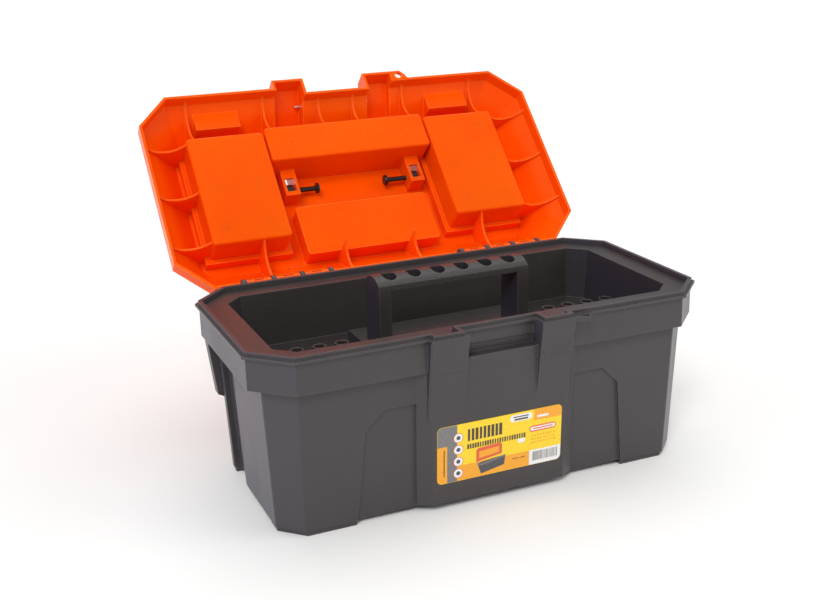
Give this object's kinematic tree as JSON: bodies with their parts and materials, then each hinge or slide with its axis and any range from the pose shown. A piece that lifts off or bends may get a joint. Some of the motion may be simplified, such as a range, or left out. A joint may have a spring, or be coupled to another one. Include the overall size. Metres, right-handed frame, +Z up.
{
  "type": "toolbox with tray",
  "caption": "Hinged-lid plastic toolbox with a lift-out tray, front latch, folding carry handle and covered organisers in the lid.",
  "frame": {"origin": "centre of the bin's footprint, on the surface it stands on", "axes": "+X along the length to the right, +Y from the latch side to the hinge side, +Z up; the lid is open on its stop"},
  "size_m": [0.3312, 0.3299, 0.2488],
  "materials": {
    "dark_plastic": "satin moulded polypropylene",
    "orange_plastic": "glossy moulded polypropylene",
    "black_plastic": "satin",
    "black_gloss": "glossy",
    "steel": "bright wire",
    "label_film": "printed film"
  },
  "bodies": {
    "bin": {"bin": "dark_plastic", "left_hinge_pin": "steel", "right_hinge_pin": "steel", "label": "label_film"},
    "lid": {"lid": "orange_plastic", "latch_pin": "steel"},
    "latch": {"latch": "black_plastic"},
    "carry_handle": {"carry_handle": "black_plastic", "left_handle_rivet": "black_gloss", "right_handle_rivet": "black_gloss"},
    "left_cover": {"left_organiser_cover": "black_plastic"},
    "right_cover": {"right_organiser_cover": "black_plastic"},
    "tray": {"tray": "dark_plastic"}
  },
  "joints": [
    {"name": "lid_hinge", "type": "hinge", "parent": "bin", "child": "lid", "pos_m": [0, 0.0908, 0.1205], "axis": [1, 0, 0], "range_deg": [0, 134]},
    {"name": "latch_hinge", "type": "hinge", "parent": "lid", "child": "latch", "pos_m": [0, 0.22568, 0.2249], "axis": [1, 0, 0], "range_deg": [-8, 211]},
    {"name": "carry_handle_hinge", "type": "hinge", "parent": "lid", "child": "carry_handle", "pos_m": [0, 0.1843, 0.16478], "axis": [1, 0, 0], "range_deg": [0, 95]},
    {"name": "left_cover_hinge", "type": "hinge", "parent": "lid", "child": "left_cover", "pos_m": [-0.1005, 0.1525, 0.12062], "axis": [-1, 0, 0], "range_deg": [0, 100]},
    {"name": "right_cover_hinge", "type": "hinge", "parent": "lid", "child": "right_cover", "pos_m": [0.1005, 0.1525, 0.12062], "axis": [-1, 0, 0], "range_deg": [0, 100]},
    {"name": "tray_lift", "type": "slide", "parent": "bin", "child": "tray", "axis": [0, 0, 1], "range_m": [0, 0.19]}
  ]
}
